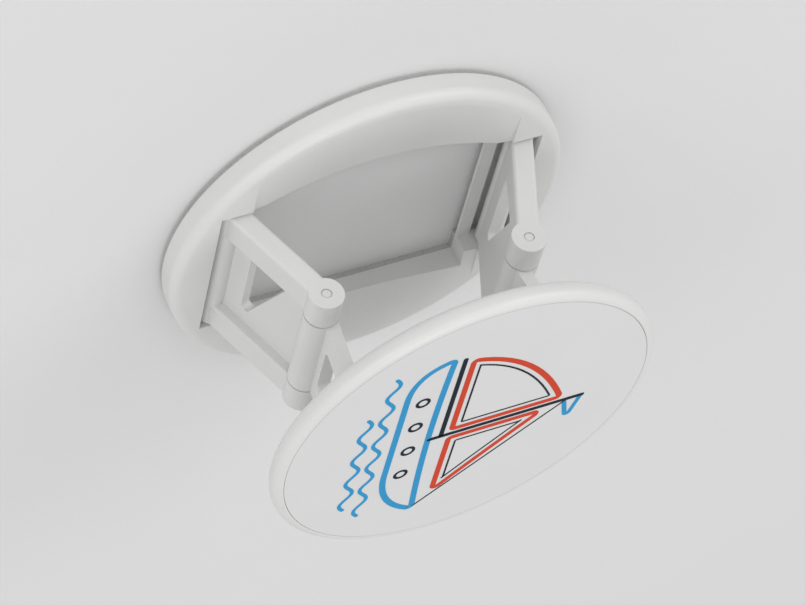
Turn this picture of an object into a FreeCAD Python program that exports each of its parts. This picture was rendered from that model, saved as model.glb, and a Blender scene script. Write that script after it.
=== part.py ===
# Folding phone grip: a stick-on base, a jointed leg on each side and a round finger plate.
# Frame in millimetres: +Z points away from the surface that the grip is stuck on, the origin is
# the centre of the adhesive face, and all hinge axes run along Y. The base's window is arched
# towards -Y and straight towards +Y.

import FreeCAD
import Part

import math
import os

Vector = FreeCAD.Vector

# Base and adhesive pad
base_radius = 20.5
base_thickness = 2.6
base_rim_width = 1.5
base_rim_round = 1.0
dish_depth = 1.1
dish_floor_radius = 9.0
dish_half_width = 13.5
pad_thickness = 0.6
pad_inset = 0.5

# Window in the base, with a low sill beside each hinge
window_far_y = 11.4
window_bulge = 2.3
sill_width = 1.4
sill_thickness = 0.35

# Hinges
hinge_inset = 5.4
hinge_rise = 1.3
barrel_radius = 1.3
pin_radius = 0.5
pin_seat = 1.6
pin_end_gap = 0.1
pin_chamfer = 0.12
pin_fit_gap = 0.02
pin_running_gap = 0.05
plate_hinge_gap = 0.12

# Legs: leans in degrees from upright, open and folded
lower_length = 12.4
lower_lean = 22.0
lower_folded_lean = 80.0
upper_lean = 6.0
upper_folded_lean = 81.0
leg_width = 17.6
leg_side_gap = 0.3
arm_width = 3.2
arm_rise = 1.1
arm_edge_round = 0.35
web_thickness = 1.1
knee_radius = 1.7
knee_relief = 0.25
knuckle_gap = 0.2
web_window_low = 3.4
web_window_high = 8.7
web_window_corner = 0.5
upper_thickness = 1.3
upper_window_width = 6.0
upper_window_low = 2.3
upper_window_corner = 0.6

# Top plate, ears and printed face
top_inset = 1.0
top_thickness = 2.2
top_gap = 0.4
top_rim_round = 0.8
top_under_round = 1.2
ear_radius = 1.5
face_rim = 1.0
face_thickness = 0.5
face_gap = 0.05

# Places worked out from the sizes above
hinge_x = base_radius - hinge_inset
top_radius = base_radius - top_inset
face_radius = top_radius - face_rim
base_bottom = pad_thickness
base_top = base_bottom + base_thickness
base_hinge_z = base_bottom + hinge_rise
pocket_half_x = hinge_x + barrel_radius + leg_side_gap
cheek_y = leg_width / 2 + leg_side_gap
base_pin_half = cheek_y + pin_seat
sill_outer = hinge_x - barrel_radius - leg_side_gap
window_half_x = sill_outer - sill_width
arm_inner = leg_width / 2 - arm_width
upper_half = arm_inner - knuckle_gap
top_cheek_y = upper_half + leg_side_gap
top_pin_half = top_cheek_y + pin_seat
past = 1.0


def reach(lean):
    """Sideways reach of a leg of length 1 at a lean."""
    return math.sin(math.radians(lean))


def rise(lean):
    """Height of a leg of length 1 at a lean."""
    return math.cos(math.radians(lean))


# The upper leg brings the plate's hinge back to the same X when both legs are folded
lower_run = lower_length * (reach(lower_folded_lean) - reach(lower_lean))
upper_length = lower_run / (reach(upper_folded_lean) - reach(upper_lean))
knee_x = hinge_x - lower_length * reach(lower_lean)
knee_z = base_hinge_z + lower_length * rise(lower_lean)
top_hinge_x = knee_x + upper_length * reach(upper_lean)
top_hinge_z = knee_z + upper_length * rise(upper_lean)
top_bottom = top_hinge_z + barrel_radius + top_gap
top_face = top_bottom + top_thickness


def cylinder_y(radius, y_from, y_to, x, z):
    """Cylinder along Y."""
    return Part.makeCylinder(radius, y_to - y_from, Vector(x, y_from, z), Vector(0, 1, 0))


def prism(points, along):
    """Straight prism on a closed polygon."""
    corners = [Vector(*point) for point in points]
    outline = Part.makePolygon(corners + corners[:1])
    return Part.Face(outline).extrude(Vector(*along))


def revolved(edges):
    """Solid of revolution about Z from a closed outline in the XZ plane."""
    face = Part.Face(Part.Wire(edges))
    return face.revolve(Vector(0, 0, 0), Vector(0, 0, 1), 360)


def line(start, end):
    """Straight edge between two (radius, height) points."""
    return Part.makeLine(Vector(start[0], 0, start[1]), Vector(end[0], 0, end[1]))


def corner_arc(centre, radius, from_deg, to_deg):
    """Quarter-round edge in the XZ plane, by its centre and two angles."""
    points = []
    for angle in (from_deg, (from_deg + to_deg) / 2, to_deg):
        turn = math.radians(angle)
        points.append(Vector(centre[0] + radius * math.cos(turn), 0, centre[1] + radius * math.sin(turn)))
    return Part.Arc(*points).toShape()


def mirrored(shape):
    """The same piece for the -X side."""
    return shape.mirror(Vector(0, 0, 0), Vector(1, 0, 0))


def edges_along(shape, direction):
    """Straight edges of a shape that run along a direction."""
    found = []
    for edge in shape.Edges:
        straight = edge.Curve.TypeId == "Part::GeomLine"
        if straight and abs(edge.tangentAt(edge.FirstParameter).dot(direction)) > 0.999:
            found.append(edge)
    return found


# Base
def base_window(bottom, height):
    """Open space in the base: pockets for the hinges and a window, arched on its -Y side."""
    pocket = Part.makeBox(2 * pocket_half_x, 2 * cheek_y, height, Vector(-pocket_half_x, -cheek_y, bottom))
    deep = cheek_y + window_far_y
    window = Part.makeBox(2 * window_half_x, deep, height, Vector(-window_half_x, -cheek_y, bottom))
    left = Vector(-window_half_x, -cheek_y, bottom)
    right = Vector(window_half_x, -cheek_y, bottom)
    apex = Vector(0, -cheek_y - window_bulge, bottom)
    outline = Part.Wire([Part.Arc(left, apex, right).toShape(), Part.makeLine(right, left)])
    return pocket.fuse([window, Part.Face(outline).extrude(Vector(0, 0, height))])


def dish():
    """Hollow of the land between the two hinges, so that a finger has more room."""
    rim_inner = base_radius - base_rim_width
    floor = base_top - dish_depth
    above = base_top + past
    bowl = revolved([
        line((0, floor), (dish_floor_radius, floor)),
        line((dish_floor_radius, floor), (rim_inner, base_top)),
        line((rim_inner, base_top), (rim_inner, above)),
        line((rim_inner, above), (0, above)),
        line((0, above), (0, floor)),
    ])
    between = Part.makeBox(2 * dish_half_width, 2 * base_radius, base_thickness + past,
                           Vector(-dish_half_width, -base_radius, base_bottom))
    return bowl.common(between)


def base_plate():
    """Round moulding: rounded rim, dished land, window, sills and blind holes for the hinge pins."""
    crest = base_radius - base_rim_round
    body = revolved([
        line((0, base_bottom), (base_radius, base_bottom)),
        line((base_radius, base_bottom), (base_radius, base_top - base_rim_round)),
        corner_arc((crest, base_top - base_rim_round), base_rim_round, 0, 90),
        line((crest, base_top), (0, base_top)),
        line((0, base_top), (0, base_bottom)),
    ])
    body = body.cut(dish())
    body = body.cut(base_window(base_bottom - past, base_thickness + 2 * past))
    hole = base_pin_half + pin_end_gap
    sill_size = (sill_width, 2 * (cheek_y + past), sill_thickness)
    for side in (-1, 1):
        sill_x = sill_outer - sill_width if side > 0 else -sill_outer
        body = body.fuse(Part.makeBox(*sill_size, Vector(sill_x, -cheek_y - past, base_bottom)))
        body = body.cut(cylinder_y(pin_radius + pin_fit_gap, -hole, hole, side * hinge_x, base_hinge_z))
    return body.removeSplitter()


def adhesive_pad():
    """Foam ring with the base's outline and openings."""
    disc = Part.makeCylinder(base_radius - pad_inset, pad_thickness)
    return disc.cut(base_window(-past, pad_thickness + 2 * past)).removeSplitter()


# Legs, built upright with the hinge axis at the origin and the knee axis above it
def lower_leg():
    """Lower leg of the +X side: two raised arms with the outer knuckles, and a web with a window."""
    half = leg_width / 2
    web_half = arm_inner + arm_width / 2
    web = Part.makeBox(web_thickness, 2 * web_half, lower_length, Vector(-web_thickness, -web_half, 0))
    slope = (web_window_high - web_window_low) / (2 * arm_inner)
    corner_y = -web_half - past
    corner_z = web_window_low + slope * (arm_inner - corner_y)
    outline = [(corner_y, web_window_low), (arm_inner, web_window_low), (corner_y, corner_z)]
    points = [(-web_thickness - past, y, z) for y, z in outline]
    window = prism(points, (web_thickness + 2 * past, 0, 0))
    web = web.cut(window.makeFillet(web_window_corner, edges_along(window, Vector(1, 0, 0))))
    relief = knee_radius + knee_relief
    web = web.cut(cylinder_y(relief, -arm_inner, arm_inner, 0, lower_length))
    body = web.fuse(cylinder_y(barrel_radius, -half, half, 0, 0))
    arm_size = (web_thickness + arm_rise, arm_width, lower_length)
    for y_from in (-half, arm_inner):
        arm = Part.makeBox(*arm_size, Vector(-web_thickness, y_from, 0))
        arm = arm.makeFillet(arm_edge_round, edges_along(arm, Vector(0, 0, 1)))
        knuckle = cylinder_y(knee_radius, y_from, y_from + arm_width, 0, lower_length)
        body = body.fuse([arm, knuckle])
    body = body.cut(cylinder_y(pin_radius + pin_running_gap, -half - past, half + past, 0, 0))
    body = body.cut(cylinder_y(pin_radius + pin_fit_gap, -half - past, half + past, 0, lower_length))
    body = body.removeSplitter()
    body.rotate(Vector(0, 0, 0), Vector(0, 1, 0), -lower_lean)
    body.translate(Vector(hinge_x, 0, base_hinge_z))
    return body


def upper_leg():
    """Upper leg of the +X side, hung from the plate's hinge, with the middle knuckle of the knee."""
    corner = Vector(-upper_thickness, -upper_half, 0)
    plate = Part.makeBox(upper_thickness, 2 * upper_half, upper_length, corner)
    window_height = upper_length - knee_radius - 2 * upper_window_low + barrel_radius
    window_start = Vector(-upper_thickness - past, -upper_window_width / 2, upper_window_low)
    window = Part.makeBox(upper_thickness + 2 * past, upper_window_width, window_height, window_start)
    plate = plate.cut(window.makeFillet(upper_window_corner, edges_along(window, Vector(1, 0, 0))))
    body = plate.fuse([
        cylinder_y(barrel_radius, -upper_half, upper_half, 0, 0),
        cylinder_y(knee_radius, -upper_half, upper_half, 0, upper_length),
    ])
    for z, gap in ((0, plate_hinge_gap), (upper_length, pin_running_gap)):
        body = body.cut(cylinder_y(pin_radius + gap, -upper_half - past, upper_half + past, 0, z))
    body = body.removeSplitter()
    body = body.mirror(Vector(0, 0, 0), Vector(0, 0, 1))
    body.rotate(Vector(0, 0, 0), Vector(0, 1, 0), upper_lean)
    body.translate(Vector(top_hinge_x, 0, top_hinge_z))
    return body


def pin(half_length, x, z):
    """Hinge pin along Y with chamfered ends."""
    shape = cylinder_y(pin_radius, -half_length, half_length, x, z)
    ends = [edge for edge in shape.Edges if edge.Curve.TypeId == "Part::GeomCircle"]
    return shape.makeChamfer(pin_chamfer, ends)


# Top plate
def top_plate():
    """Round finger plate with rounded edges, a recess for the printed face and four ears below."""
    upper = top_radius - top_rim_round
    under = top_radius - top_under_round
    recess = face_radius + face_gap
    floor = top_face - face_thickness
    body = revolved([
        line((0, top_bottom), (under, top_bottom)),
        corner_arc((under, top_bottom + top_under_round), top_under_round, -90, 0),
        line((top_radius, top_bottom + top_under_round), (top_radius, top_face - top_rim_round)),
        corner_arc((upper, top_face - top_rim_round), top_rim_round, 0, 90),
        line((upper, top_face), (recess, top_face)),
        line((recess, top_face), (recess, floor)),
        line((recess, floor), (0, floor)),
        line((0, floor), (0, top_bottom)),
    ])
    post_size = (2 * ear_radius, pin_seat, top_bottom - top_hinge_z)
    for side in (-1, 1):
        x = side * top_hinge_x
        for y_from in (-top_pin_half, top_cheek_y):
            ear = cylinder_y(ear_radius, y_from, y_from + pin_seat, x, top_hinge_z)
            post = Part.makeBox(*post_size, Vector(x - ear_radius, y_from, top_hinge_z))
            body = body.fuse([ear, post])
        hole = top_pin_half + past
        body = body.cut(cylinder_y(pin_radius + pin_fit_gap, -hole, hole, x, top_hinge_z))
    return body.removeSplitter()


def face_insert():
    """Printed disc that fills the recess of the top plate."""
    return Part.makeCylinder(face_radius, face_thickness, Vector(0, 0, top_face - face_thickness))


pieces = {
    "adhesive_pad": adhesive_pad(),
    "base_plate": base_plate(),
    "top_plate": top_plate(),
    "face_insert": face_insert(),
}
paired = {
    "lower_leg": lower_leg(),
    "upper_leg": upper_leg(),
    "base_pin": pin(base_pin_half, hinge_x, base_hinge_z),
    "knee_pin": pin(leg_width / 2, knee_x, knee_z),
    "top_pin": pin(top_pin_half, top_hinge_x, top_hinge_z),
}
for name, shape in paired.items():
    pieces[name + "_right"] = shape
    pieces[name + "_left"] = mirrored(shape)

os.makedirs("parts", exist_ok=True)
for name, shape in pieces.items():
    shape.exportStep(os.path.join("parts", name + ".step"))
    print(name, len(shape.Solids), shape.isValid(), round(shape.Volume, 2))
print("base hinge", hinge_x, base_hinge_z, "knee", knee_x, knee_z, "top hinge", top_hinge_x, top_hinge_z)
print("base top", base_top, "top plate", top_bottom, top_face, "upper leg", upper_length)
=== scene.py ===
# %% [markdown]
# # A folding phone grip, dressed in Blender
# The grip is a round foot that sticks to a flat back, a leg with a knee on each side, and a round
# plate that a finger goes behind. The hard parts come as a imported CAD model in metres, and this
# lesson gives them their finish, their print, a floor, light and a camera.

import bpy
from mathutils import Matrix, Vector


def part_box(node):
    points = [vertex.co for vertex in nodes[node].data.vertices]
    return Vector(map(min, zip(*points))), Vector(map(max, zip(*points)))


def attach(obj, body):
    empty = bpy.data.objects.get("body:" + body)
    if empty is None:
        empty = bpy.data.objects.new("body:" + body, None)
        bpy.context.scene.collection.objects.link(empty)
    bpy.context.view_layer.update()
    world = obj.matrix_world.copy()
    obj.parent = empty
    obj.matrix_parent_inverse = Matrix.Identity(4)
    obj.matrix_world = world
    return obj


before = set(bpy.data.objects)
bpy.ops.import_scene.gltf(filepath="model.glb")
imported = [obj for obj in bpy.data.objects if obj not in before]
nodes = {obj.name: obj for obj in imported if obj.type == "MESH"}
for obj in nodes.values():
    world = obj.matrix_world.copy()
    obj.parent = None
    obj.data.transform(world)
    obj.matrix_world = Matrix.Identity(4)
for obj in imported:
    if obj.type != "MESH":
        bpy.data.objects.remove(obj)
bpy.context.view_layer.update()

import math

import bpy
from mathutils import Matrix, Vector

MM = 0.001

# %% [markdown]
# ## Two helpers for every material
# Colours are written as sRGB hex values, as a paint chart gives them, but shaders count in linear
# light, so one function turns one into the other. A second one adds a node, applies its settings,
# and fills each input with a number or a link. Long node trees then read as plain lists.

# %% Colour and node helpers
def linear(code):
    """Turn an sRGB hex colour into the linear RGBA that a shader wants."""
    parts = [int(code[i:i + 2], 16) / 255 for i in (1, 3, 5)]
    return [c / 12.92 if c <= 0.04045 else ((c + 0.055) / 1.055) ** 2.4 for c in parts] + [1.0]


def add(tree, kind, inputs=None, **settings):
    """Add one node to a tree; each input takes a plain value or the socket it is linked from."""
    made = tree.nodes.new(kind)
    for name, value in settings.items():
        setattr(made, name, value)
    for socket, value in (inputs or {}).items():
        sources = value if isinstance(value, list) else [value]
        if isinstance(sources[0], bpy.types.NodeSocket):
            for source in sources:
                tree.links.new(source, made.inputs[socket])
        else:
            made.inputs[socket].default_value = value
    return made


def new_finish(name):
    """Start an empty material and return it with its node tree."""
    material = bpy.data.materials.new(name)
    material.use_nodes = True
    material.node_tree.nodes.clear()
    return material, material.node_tree


def per_metre(size_mm):
    """The texture scale that makes one cell of a pattern about size_mm wide."""
    return 1 / (size_mm * MM)


print("white #FFFFFF is", linear("#FFFFFF"))

# %% [markdown]
# ## Moulded white ABS
# The foot, the legs and the plate are injection-moulded ABS in a polished tool with a slight satin.
# A flat colour would look like clay, so three small things are added: a cloudy change of tone over
# some millimetres, as white plastic has where it is thicker or thinner, a roughness that wanders a
# little, and a very low ripple in the surface, which breaks up the edges of the highlights.

# %% Moulded white ABS
cloud_mm = 7.0
smear_mm = 2.5
satin_wander = 0.05


def moulded_plastic(name, light, dark, roughness, ripple_mm, ripple_height_mm, ior):
    """White moulded plastic: cloudy tone, uneven satin and a low ripple in the surface."""
    material, tree = new_finish(name)
    where = add(tree, "ShaderNodeTexCoord").outputs["Object"]
    cloud = add(tree, "ShaderNodeTexNoise", {"Vector": where, "Scale": per_metre(cloud_mm), "Detail": 2.0})
    tone = add(tree, "ShaderNodeMix", {"Factor": cloud.outputs["Fac"], "A": linear(dark),
               "B": linear(light)}, data_type="RGBA")
    smear = add(tree, "ShaderNodeTexNoise", {"Vector": where, "Scale": per_metre(smear_mm), "Detail": 4.0})
    satin = add(tree, "ShaderNodeMapRange", {"Value": smear.outputs["Fac"],
                "To Min": roughness - satin_wander, "To Max": roughness + satin_wander})
    grain = add(tree, "ShaderNodeTexNoise", {"Vector": where, "Scale": per_metre(ripple_mm), "Detail": 1.0})
    bump = add(tree, "ShaderNodeBump", {"Height": grain.outputs["Fac"], "Strength": 1.0,
               "Distance": ripple_height_mm * MM})
    shader = add(tree, "ShaderNodeBsdfPrincipled", {"Base Color": tone.outputs["Result"],
                 "Roughness": satin.outputs["Result"], "Normal": bump.outputs["Normal"], "IOR": ior})
    add(tree, "ShaderNodeOutputMaterial", {"Surface": shader.outputs["BSDF"]})
    return material


moulded_abs = moulded_plastic("moulded white ABS", light="#E1E1E0", dark="#DADAD9", roughness=0.40,
                              ripple_mm=0.5, ripple_height_mm=0.004, ior=1.53)
print("made", moulded_abs.name)

# %% [markdown]
# ## Acetal pins and the face film
# Hinge pins are usually acetal, which is slippery and a touch more translucent and duller than ABS.
# The round face is a printed film with a satin coat, a little duller than the moulding. It lies
# almost flat, with a very faint ripple some millimetres long.

# %% Acetal pins and the face film
acetal = moulded_plastic("turned white acetal", light="#DFDFDC", dark="#D8D8D5", roughness=0.42,
                         ripple_mm=0.3, ripple_height_mm=0.003, ior=1.48)
face_film = moulded_plastic("coated white face film", light="#DEDEDE", dark="#DADADA", roughness=0.46,
                            ripple_mm=3.0, ripple_height_mm=0.001, ior=1.49)
print("made", acetal.name, "and", face_film.name)

# %% [markdown]
# ## Closed-cell foam tape
# The grip is stuck on with grey closed-cell foam. Its cut face is matt and full of tiny cells, so a
# cell texture gives the bump of the pits, and it also paints shade into the colour: each pit is
# darker at its bottom, where shade falls. Real cells are about 0.15 mm wide, which is too fine to
# show here, so they are drawn 0.35 mm wide.

# %% Closed-cell foam tape
foam_cell_mm = 0.35
pit_depth_mm = 0.03
foam, tree = new_finish("grey closed-cell foam")
where = add(tree, "ShaderNodeTexCoord").outputs["Object"]
cells = add(tree, "ShaderNodeTexVoronoi", {"Vector": where, "Scale": per_metre(foam_cell_mm)})
pit_depth_and_painted_shade = add(tree, "ShaderNodeMapRange", {"Value": cells.outputs["Distance"], "From Min": 0.1,
           "From Max": 0.6})
# Painted shade: the colour darkens towards the bottom of each pit, where shade would fall.
tone = add(tree, "ShaderNodeMix", {"Factor": pit_depth_and_painted_shade.outputs["Result"], "A": linear("#B2B2B1"),
           "B": linear("#BDBDBC")}, data_type="RGBA")
bump = add(tree, "ShaderNodeBump", {"Height": pit_depth_and_painted_shade.outputs["Result"], "Strength": 0.6,
           "Distance": pit_depth_mm * MM})
shader = add(tree, "ShaderNodeBsdfPrincipled", {"Base Color": tone.outputs["Result"], "Roughness": 0.85,
             "Normal": bump.outputs["Normal"], "IOR": 1.45})
add(tree, "ShaderNodeOutputMaterial", {"Surface": shader.outputs["BSDF"]})
print("made", foam.name)

# %% [markdown]
# ## Giving each CAD piece its finish
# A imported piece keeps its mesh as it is. Its material slot takes the finish that stands for the
# real material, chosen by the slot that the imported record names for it.

# %% Finishes on the CAD pieces
finish_of_slot = {"white_plastic": moulded_abs, "printed_face": face_film,
                  "pin_plastic": acetal, "adhesive_foam": foam}
for name, piece in nodes.items():
    for slot in piece.material_slots:
        slot.material = finish_of_slot[slot.material.name.split(".")[0]]
    print(name, "wears", piece.material_slots[0].material.name)

# %% [markdown]
# ## Screen-print inks
# The face carries a small line drawing in three inks. Screen ink lies on the film as a layer a few
# hundredths of a millimetre thick, with a soft satin and a slight mottle where the mesh of the
# screen let through more or less of it.

# %% Screen-print inks
mottle_mm = 0.4


def screen_ink(name, colour, worn):
    """Opaque screen ink with the mottle of the printing mesh."""
    material, tree = new_finish(name)
    where = add(tree, "ShaderNodeTexCoord").outputs["Object"]
    mottle = add(tree, "ShaderNodeTexNoise", {"Vector": where, "Scale": per_metre(mottle_mm), "Detail": 3.0})
    tone = add(tree, "ShaderNodeMix", {"Factor": mottle.outputs["Fac"], "A": linear(colour),
               "B": linear(worn)}, data_type="RGBA")
    shader = add(tree, "ShaderNodeBsdfPrincipled", {"Base Color": tone.outputs["Result"],
                 "Roughness": 0.55, "IOR": 1.5, "Specular IOR Level": 0.15})
    add(tree, "ShaderNodeOutputMaterial", {"Surface": shader.outputs["BSDF"]})
    return material


red_ink = screen_ink("vermilion screen ink", "#CB3D22", "#D2492D")
blue_ink = screen_ink("sky blue screen ink", "#2790C6", "#369BCE")
navy_ink = screen_ink("navy screen ink", "#121C28", "#1A2734")
print("inks", red_ink.name, blue_ink.name, navy_ink.name)

# %% [markdown]
# ## One node tree for every printed line
# A printed line follows a path and has one width, so a Geometry Nodes tree makes it: the path's
# edges become curves, their corners are rounded as a pen would, and a flat strip runs along them.
# Discs of the same width close the open ends. They are a little thinner than the strip, so that
# their faces don't lie in one plane with it. The strip starts a little under the face, so that no
# gap shows at its foot.

# %% Tree for a printed line
def tree_inputs(tree, named):
    """Declare a tree's geometry sockets and its named inputs; return the sockets that bring them in."""
    tree.interface.new_socket("Geometry", in_out="INPUT", socket_type="NodeSocketGeometry")
    tree.interface.new_socket("Geometry", in_out="OUTPUT", socket_type="NodeSocketGeometry")
    for name, kind in named.items():
        tree.interface.new_socket(name, in_out="INPUT", socket_type=kind)
    return add(tree, "NodeGroupInput").outputs


corner_steps = 5
cap_sides = 20
cap_share = 0.96
line_tree = bpy.data.node_groups.new("printed line", "GeometryNodeTree")
given = tree_inputs(line_tree, {"Line width": "NodeSocketFloat", "Ink height": "NodeSocketFloat",
                                "Corner radius": "NodeSocketFloat", "Ink": "NodeSocketMaterial"})
path = add(line_tree, "GeometryNodeMeshToCurve", {"Mesh": given["Geometry"]})
rounded = add(line_tree, "GeometryNodeFilletCurve", {"Curve": path.outputs["Curve"], "Count": corner_steps,
              "Radius": given["Corner radius"], "Limit Radius": True}, mode="POLY")
level = add(line_tree, "GeometryNodeSetCurveNormal", {"Curve": rounded.outputs["Curve"]}, mode="Z_UP")
section = add(line_tree, "GeometryNodeCurvePrimitiveQuadrilateral", {"Width": given["Line width"],
              "Height": given["Ink height"]}, mode="RECTANGLE")
strip = add(line_tree, "GeometryNodeCurveToMesh", {"Curve": level.outputs["Curve"],
            "Profile Curve": section.outputs["Curve"], "Fill Caps": True})
half_width = add(line_tree, "ShaderNodeMath", {0: given["Line width"], 1: 0.5}, operation="MULTIPLY")
cap = add(line_tree, "GeometryNodeMeshCylinder", {"Vertices": cap_sides,
          "Radius": half_width.outputs["Value"], "Depth": given["Ink height"]})
ends = add(line_tree, "GeometryNodeCurveEndpointSelection", {"Start Size": 1, "End Size": 1})
caps = add(line_tree, "GeometryNodeInstanceOnPoints", {"Points": level.outputs["Curve"],
           "Selection": ends.outputs["Selection"], "Instance": cap.outputs["Mesh"],
           "Scale": (1, 1, cap_share)})
whole = add(line_tree, "GeometryNodeJoinGeometry", {"Geometry": [strip.outputs["Mesh"],
            caps.outputs["Instances"]]})
real = add(line_tree, "GeometryNodeRealizeInstances", {"Geometry": whole.outputs["Geometry"]})
inked = add(line_tree, "GeometryNodeSetMaterial", {"Geometry": real.outputs["Geometry"],
            "Material": given["Ink"]})
add(line_tree, "NodeGroupOutput", {"Geometry": inked.outputs["Geometry"]})
print("tree", line_tree.name, "with", len(line_tree.nodes), "nodes")

# %% [markdown]
# ## From a path to a plain mesh
# The export wants plain meshes, so a piece is evaluated once with its tree and the result is kept
# without the modifier. The drawing is laid out in millimetres, with u to the right and v up as one
# reads it. On the grip its top points along -X, because the print is read with the grip on its side.

# %% From a path to a plain mesh
face_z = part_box("face_insert")[1][2] / MM
ink_sink = 0.01


def on_face(u, v, height):
    """A point of the drawing, in millimetres, as a place on the face in metres."""
    return Vector((-v, u, face_z - ink_sink + height / 2)) * MM


def plain_mesh(name, mesh, tree, values):
    """Run a tree on a mesh with these named inputs and keep the result as a plain mesh piece."""
    source = bpy.data.objects.new(name + "_path", mesh)
    bpy.context.collection.objects.link(source)
    modifier = source.modifiers.new("tree", "NODES")
    modifier.node_group = tree
    for item in tree.interface.items_tree:
        if item.in_out == "INPUT" and item.name in values:
            modifier[item.identifier] = values[item.name]
    evaluated = source.evaluated_get(bpy.context.evaluated_depsgraph_get())
    made = bpy.data.meshes.new_from_object(evaluated)
    made.shade_flat()
    bpy.data.objects.remove(source)
    piece = bpy.data.objects.new(name, made)
    bpy.context.collection.objects.link(piece)
    made.name = name
    return piece


def printed_lines(name, paths, width, height, ink, corner=0.35):
    """Print paths of the drawing, each (points, closed), as lines of one width and ink."""
    verts = []
    edges = []
    for points, closed in paths:
        first = len(verts)
        verts += [on_face(u, v, height) for u, v in points]
        edges += [(i, i + 1) for i in range(first, len(verts) - 1)]
        if closed:
            edges.append((len(verts) - 1, first))
    mesh = bpy.data.meshes.new(name + "_path")
    mesh.from_pydata(verts, edges, [])
    piece = plain_mesh(name, mesh, line_tree, {"Line width": width * MM, "Ink height": height * MM,
                       "Corner radius": corner * MM, "Ink": ink})
    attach(piece, "top_plate")
    print(name, len(piece.data.polygons), "faces")


# %% [markdown]
# ## The drawing: a small sailing boat
# Two sails in red, each with a thin navy line inside it, a blue hull, a navy mast with its boom and
# stay, and a pennant. A sail's free edge bows in the wind, so a quadratic curve pulled towards one
# bulge point draws it. Outlines run anticlockwise, so that their inside is always on the left. Inks
# that cross have different heights, so that no two colours lie in one plane there.

# %% Sails, hull and mast
sharpest_corner = 0.35


def bowed(start, bulge, end, steps=14):
    """Points of a quadratic curve from start to end, pulled towards bulge."""
    out = []
    for i in range(steps + 1):
        t = i / steps
        out.append(tuple((1 - t) ** 2 * a + 2 * t * (1 - t) * b + t ** 2 * c
                         for a, b, c in zip(start, bulge, end)))
    return out


def inset(points, distance):
    """A closed anticlockwise outline drawn again a little inside itself."""
    out = []
    for i, (u, v) in enumerate(points):
        before = Vector(points[i - 1])
        after = Vector(points[(i + 1) % len(points)])
        here = Vector((u, v))
        left = Vector((-(here - before).y, (here - before).x)).normalized()
        right = Vector((-(after - here).y, (after - here).x)).normalized()
        middle = (left + right).normalized()
        out.append(tuple(here + middle * distance / max(sharpest_corner, middle.dot(left))))
    return out


mast_u = 1.0
luff_gap = 0.8
foot_v = -1.6
thin_inset = 0.85
main_sail = [(mast_u - luff_gap, foot_v)]
main_sail += bowed((mast_u - luff_gap, 9.8), (-9.6, 5.6), (-11.6, foot_v))
jib = [(mast_u + luff_gap, foot_v)]
jib += bowed((11.4, foot_v), (6.6, 3.0), (mast_u + luff_gap, 8.2))
stern = bowed((-12.6, -3.7), (-11.8, -7.6), (-7.4, -7.6))
bow = bowed((6.0, -7.6), (11.4, -7.4), (13.8, -3.3))
deck = bowed((13.8, -3.3), (0.6, -4.4), (-12.6, -3.7))[1:-1]
hull = stern + bow + deck
pennant = [(mast_u + 3.8, 11.3), (mast_u, 12.2), (mast_u, 10.4)]
mast = [(mast_u, -3.8), (mast_u, 12.3)]
boom = [(mast_u, -2.6), (-12.2, -2.6)]
stay = [(mast_u, 10.8), (13.4, -3.2)]
thin_lines = [(inset(main_sail, thin_inset), True), (inset(jib, thin_inset), True), (stay, False)]
printed_lines("print_red_sails", [(main_sail, True), (jib, True)], width=0.62, height=0.030, ink=red_ink)
printed_lines("print_navy_thin_lines", thin_lines, width=0.2, height=0.036, ink=navy_ink, corner=0.15)
printed_lines("print_blue_hull", [(hull, True)], width=0.66, height=0.032, ink=blue_ink)
printed_lines("print_navy_spars", [(mast, False), (boom, False)], width=0.5, height=0.040, ink=navy_ink)
printed_lines("print_blue_pennant", [(pennant, True)], width=0.5, height=0.034, ink=blue_ink, corner=0.25)

# %% [markdown]
# ## Waves and portholes
# The sea is two rows of a sine line, which the same tree prints. The portholes repeat one ring, so a
# second tree stands a swept circle on each point that it is given.

# %% Waves and portholes
points_per_wave = 12


def wave(from_u, to_u, v, length=4.0, height=0.5):
    """Points of a sine line between two places, a whole number of waves long."""
    count = round((to_u - from_u) / length)
    steps = points_per_wave * count
    return [(from_u + (to_u - from_u) * i / steps, v + height * math.sin(2 * math.pi * count * i / steps))
            for i in range(steps + 1)]


sea = [(wave(-12.0, 12.0, -9.4), False), (wave(-6.0, 10.0, -11.2), False)]
printed_lines("print_blue_waves", sea, width=0.42, height=0.031, ink=blue_ink, corner=0.0)

ring_steps = 28
ring_tree = bpy.data.node_groups.new("printed rings", "GeometryNodeTree")
given = tree_inputs(ring_tree, {"Ring radius": "NodeSocketFloat", "Line width": "NodeSocketFloat",
                                "Ink height": "NodeSocketFloat", "Ink": "NodeSocketMaterial"})
circle = add(ring_tree, "GeometryNodeCurvePrimitiveCircle", {"Resolution": ring_steps,
             "Radius": given["Ring radius"]})
level = add(ring_tree, "GeometryNodeSetCurveNormal", {"Curve": circle.outputs["Curve"]}, mode="Z_UP")
section = add(ring_tree, "GeometryNodeCurvePrimitiveQuadrilateral", {"Width": given["Line width"],
              "Height": given["Ink height"]}, mode="RECTANGLE")
ring = add(ring_tree, "GeometryNodeCurveToMesh", {"Curve": level.outputs["Curve"],
           "Profile Curve": section.outputs["Curve"]})
spread = add(ring_tree, "GeometryNodeInstanceOnPoints", {"Points": given["Geometry"],
             "Instance": ring.outputs["Mesh"]})
real = add(ring_tree, "GeometryNodeRealizeInstances", {"Geometry": spread.outputs["Instances"]})
inked = add(ring_tree, "GeometryNodeSetMaterial", {"Geometry": real.outputs["Geometry"],
            "Material": given["Ink"]})
add(ring_tree, "NodeGroupOutput", {"Geometry": inked.outputs["Geometry"]})

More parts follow.
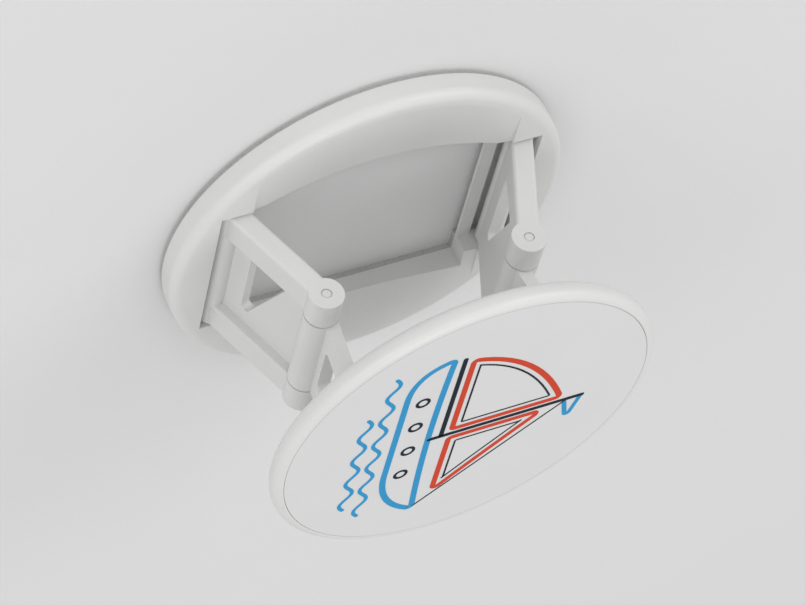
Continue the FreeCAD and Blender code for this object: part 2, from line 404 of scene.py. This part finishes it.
porthole_radius = 0.6
porthole_line = 0.32
porthole_height = 0.034
porthole_v = -5.8
porthole_us = (-6.4, -2.2, 2.0, 6.2)
porthole_mesh = bpy.data.meshes.new("portholes")
porthole_mesh.from_pydata([on_face(u, porthole_v, porthole_height) for u in porthole_us], [], [])
portholes = plain_mesh("print_navy_portholes", porthole_mesh, ring_tree, {
                       "Ring radius": porthole_radius * MM, "Line width": porthole_line * MM,
                       "Ink height": porthole_height * MM, "Ink": navy_ink})
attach(portholes, "top_plate")
print(portholes.name, len(portholes.data.polygons), "faces")

# %% [markdown]
# ## The floor
# A plain pale floor stands for whatever the grip is stuck to. It is a stage, not a piece of the
# grip, and it is large enough to fill the picture from every side.

# %% The floor
floor_half = 3.0
floor_cloud_mm = 20.0
floor_finish, tree = new_finish("pale matt floor")
where = add(tree, "ShaderNodeTexCoord").outputs["Object"]
cloud = add(tree, "ShaderNodeTexNoise", {"Vector": where, "Scale": per_metre(floor_cloud_mm),
            "Detail": 2.0})
tone = add(tree, "ShaderNodeMix", {"Factor": cloud.outputs["Fac"], "A": linear("#DFDFDF"),
           "B": linear("#E1E1E1")}, data_type="RGBA")
shader = add(tree, "ShaderNodeBsdfPrincipled", {"Base Color": tone.outputs["Result"], "Roughness": 0.7})
add(tree, "ShaderNodeOutputMaterial", {"Surface": shader.outputs["BSDF"]})

floor_mesh = bpy.data.meshes.new("floor")
floor_mesh.from_pydata([(-floor_half, -floor_half, 0), (floor_half, -floor_half, 0),
                        (floor_half, floor_half, 0), (-floor_half, floor_half, 0)], [], [(0, 1, 2, 3)])
floor_mesh.materials.append(floor_finish)
floor = bpy.data.objects.new("floor", floor_mesh)
bpy.context.collection.objects.link(floor)
print("floor", 2 * floor_half, "m wide")

# %% [markdown]
# ## Soft studio light
# Two large lamps, not far above the floor, shine in under the plate from the left and the right. A
# smaller one overhead lights the face and leaves the dished foot in the plate's soft shadow, and an
# even pale world fills the rest. Together they are set so that a surface that faces up renders in
# about the colour it was given. Past the floor, the camera and the reflections see a plain grey
# backdrop in the tone that the floor has far away, so that its far edge doesn't show as a line.

# %% Lamps and world
def area_lamp(name, place, aim, size, watts):
    """A round soft lamp at place, turned towards aim, all in metres."""
    lamp = bpy.data.lights.new(name, "AREA")
    lamp.shape = "DISK"
    lamp.size = size
    lamp.energy = watts
    holder = bpy.data.objects.new(name, lamp)
    bpy.context.collection.objects.link(holder)
    turn = (Vector(aim) - Vector(place)).to_track_quat("-Z", "Y")
    holder.matrix_world = Matrix.Translation(place) @ turn.to_matrix().to_4x4()
    print(name, watts, "W from", [round(v, 2) for v in place])


centre = Vector((0, 0, 0.012))
area_lamp("key", (-0.75, -0.80, 0.44), centre, size=0.80, watts=3.1)
area_lamp("side", (0.85, -0.60, 0.40), centre, size=0.80, watts=2.6)
area_lamp("top", (0.05, -0.10, 1.00), centre, size=0.40, watts=1.7)
sky_strength = 0.66
world = bpy.data.worlds.new("studio")
world.use_nodes = True
world.node_tree.nodes.clear()
sky = add(world.node_tree, "ShaderNodeBackground", {"Color": linear("#FFFFFF"), "Strength": sky_strength})
backdrop = add(world.node_tree, "ShaderNodeBackground", {"Color": linear("#BEBEBE"), "Strength": 1.0})
rays = add(world.node_tree, "ShaderNodeLightPath").outputs
mirrored = add(world.node_tree, "ShaderNodeMath", {0: rays["Is Camera Ray"], 1: rays["Is Glossy Ray"]},
               operation="MAXIMUM")
seen = add(world.node_tree, "ShaderNodeMath", {0: mirrored.outputs["Value"],
           1: rays["Is Transmission Ray"]}, operation="MAXIMUM")
either = add(world.node_tree, "ShaderNodeMixShader", {0: seen.outputs["Value"], 1: sky.outputs["Background"],
             2: backdrop.outputs["Background"]})
add(world.node_tree, "ShaderNodeOutputWorld", {"Surface": either.outputs["Shader"]})
bpy.context.scene.world = world
bpy.context.scene.view_settings.view_transform = "Standard"

# %% [markdown]
# ## The camera
# The grip is seen from a low angle with the camera rolled almost upside down, as if it hung from an
# upright back with its plate towards the viewer. Azimuth, elevation and roll build the camera's axes
# by hand. The camera stands about as far away as a hand holds such a grip.

# %% The camera
azimuth, elevation, roll = (math.radians(a) for a in (23.5, 27.1, 153.0))
camera_distance = 0.320
picture_width = 806
focal_pixels = 3388
flat = math.cos(elevation)
back = Vector((math.sin(azimuth) * flat, -math.cos(azimuth) * flat, math.sin(elevation)))
side = Vector((math.cos(azimuth), math.sin(azimuth), 0))
rise = back.cross(side)
right = math.cos(roll) * side + math.sin(roll) * rise
up = -math.sin(roll) * side + math.cos(roll) * rise
aim_height = 15.2
aim_left = 1.7
aim_up = 2.8
aim = Vector((0, 0, aim_height)) * MM - aim_left * MM * right + aim_up * MM * up

lens = bpy.data.cameras.new("camera")
lens.sensor_width = 36
lens.lens = focal_pixels * lens.sensor_width / picture_width
lens.clip_start = 0.01
camera = bpy.data.objects.new("camera", lens)
bpy.context.collection.objects.link(camera)
axes = Matrix((right, up, back)).transposed().to_4x4()
camera.matrix_world = Matrix.Translation(aim + camera_distance * back) @ axes
bpy.context.scene.camera = camera
print("lens", round(lens.lens, 1), "mm from", camera_distance, "m")
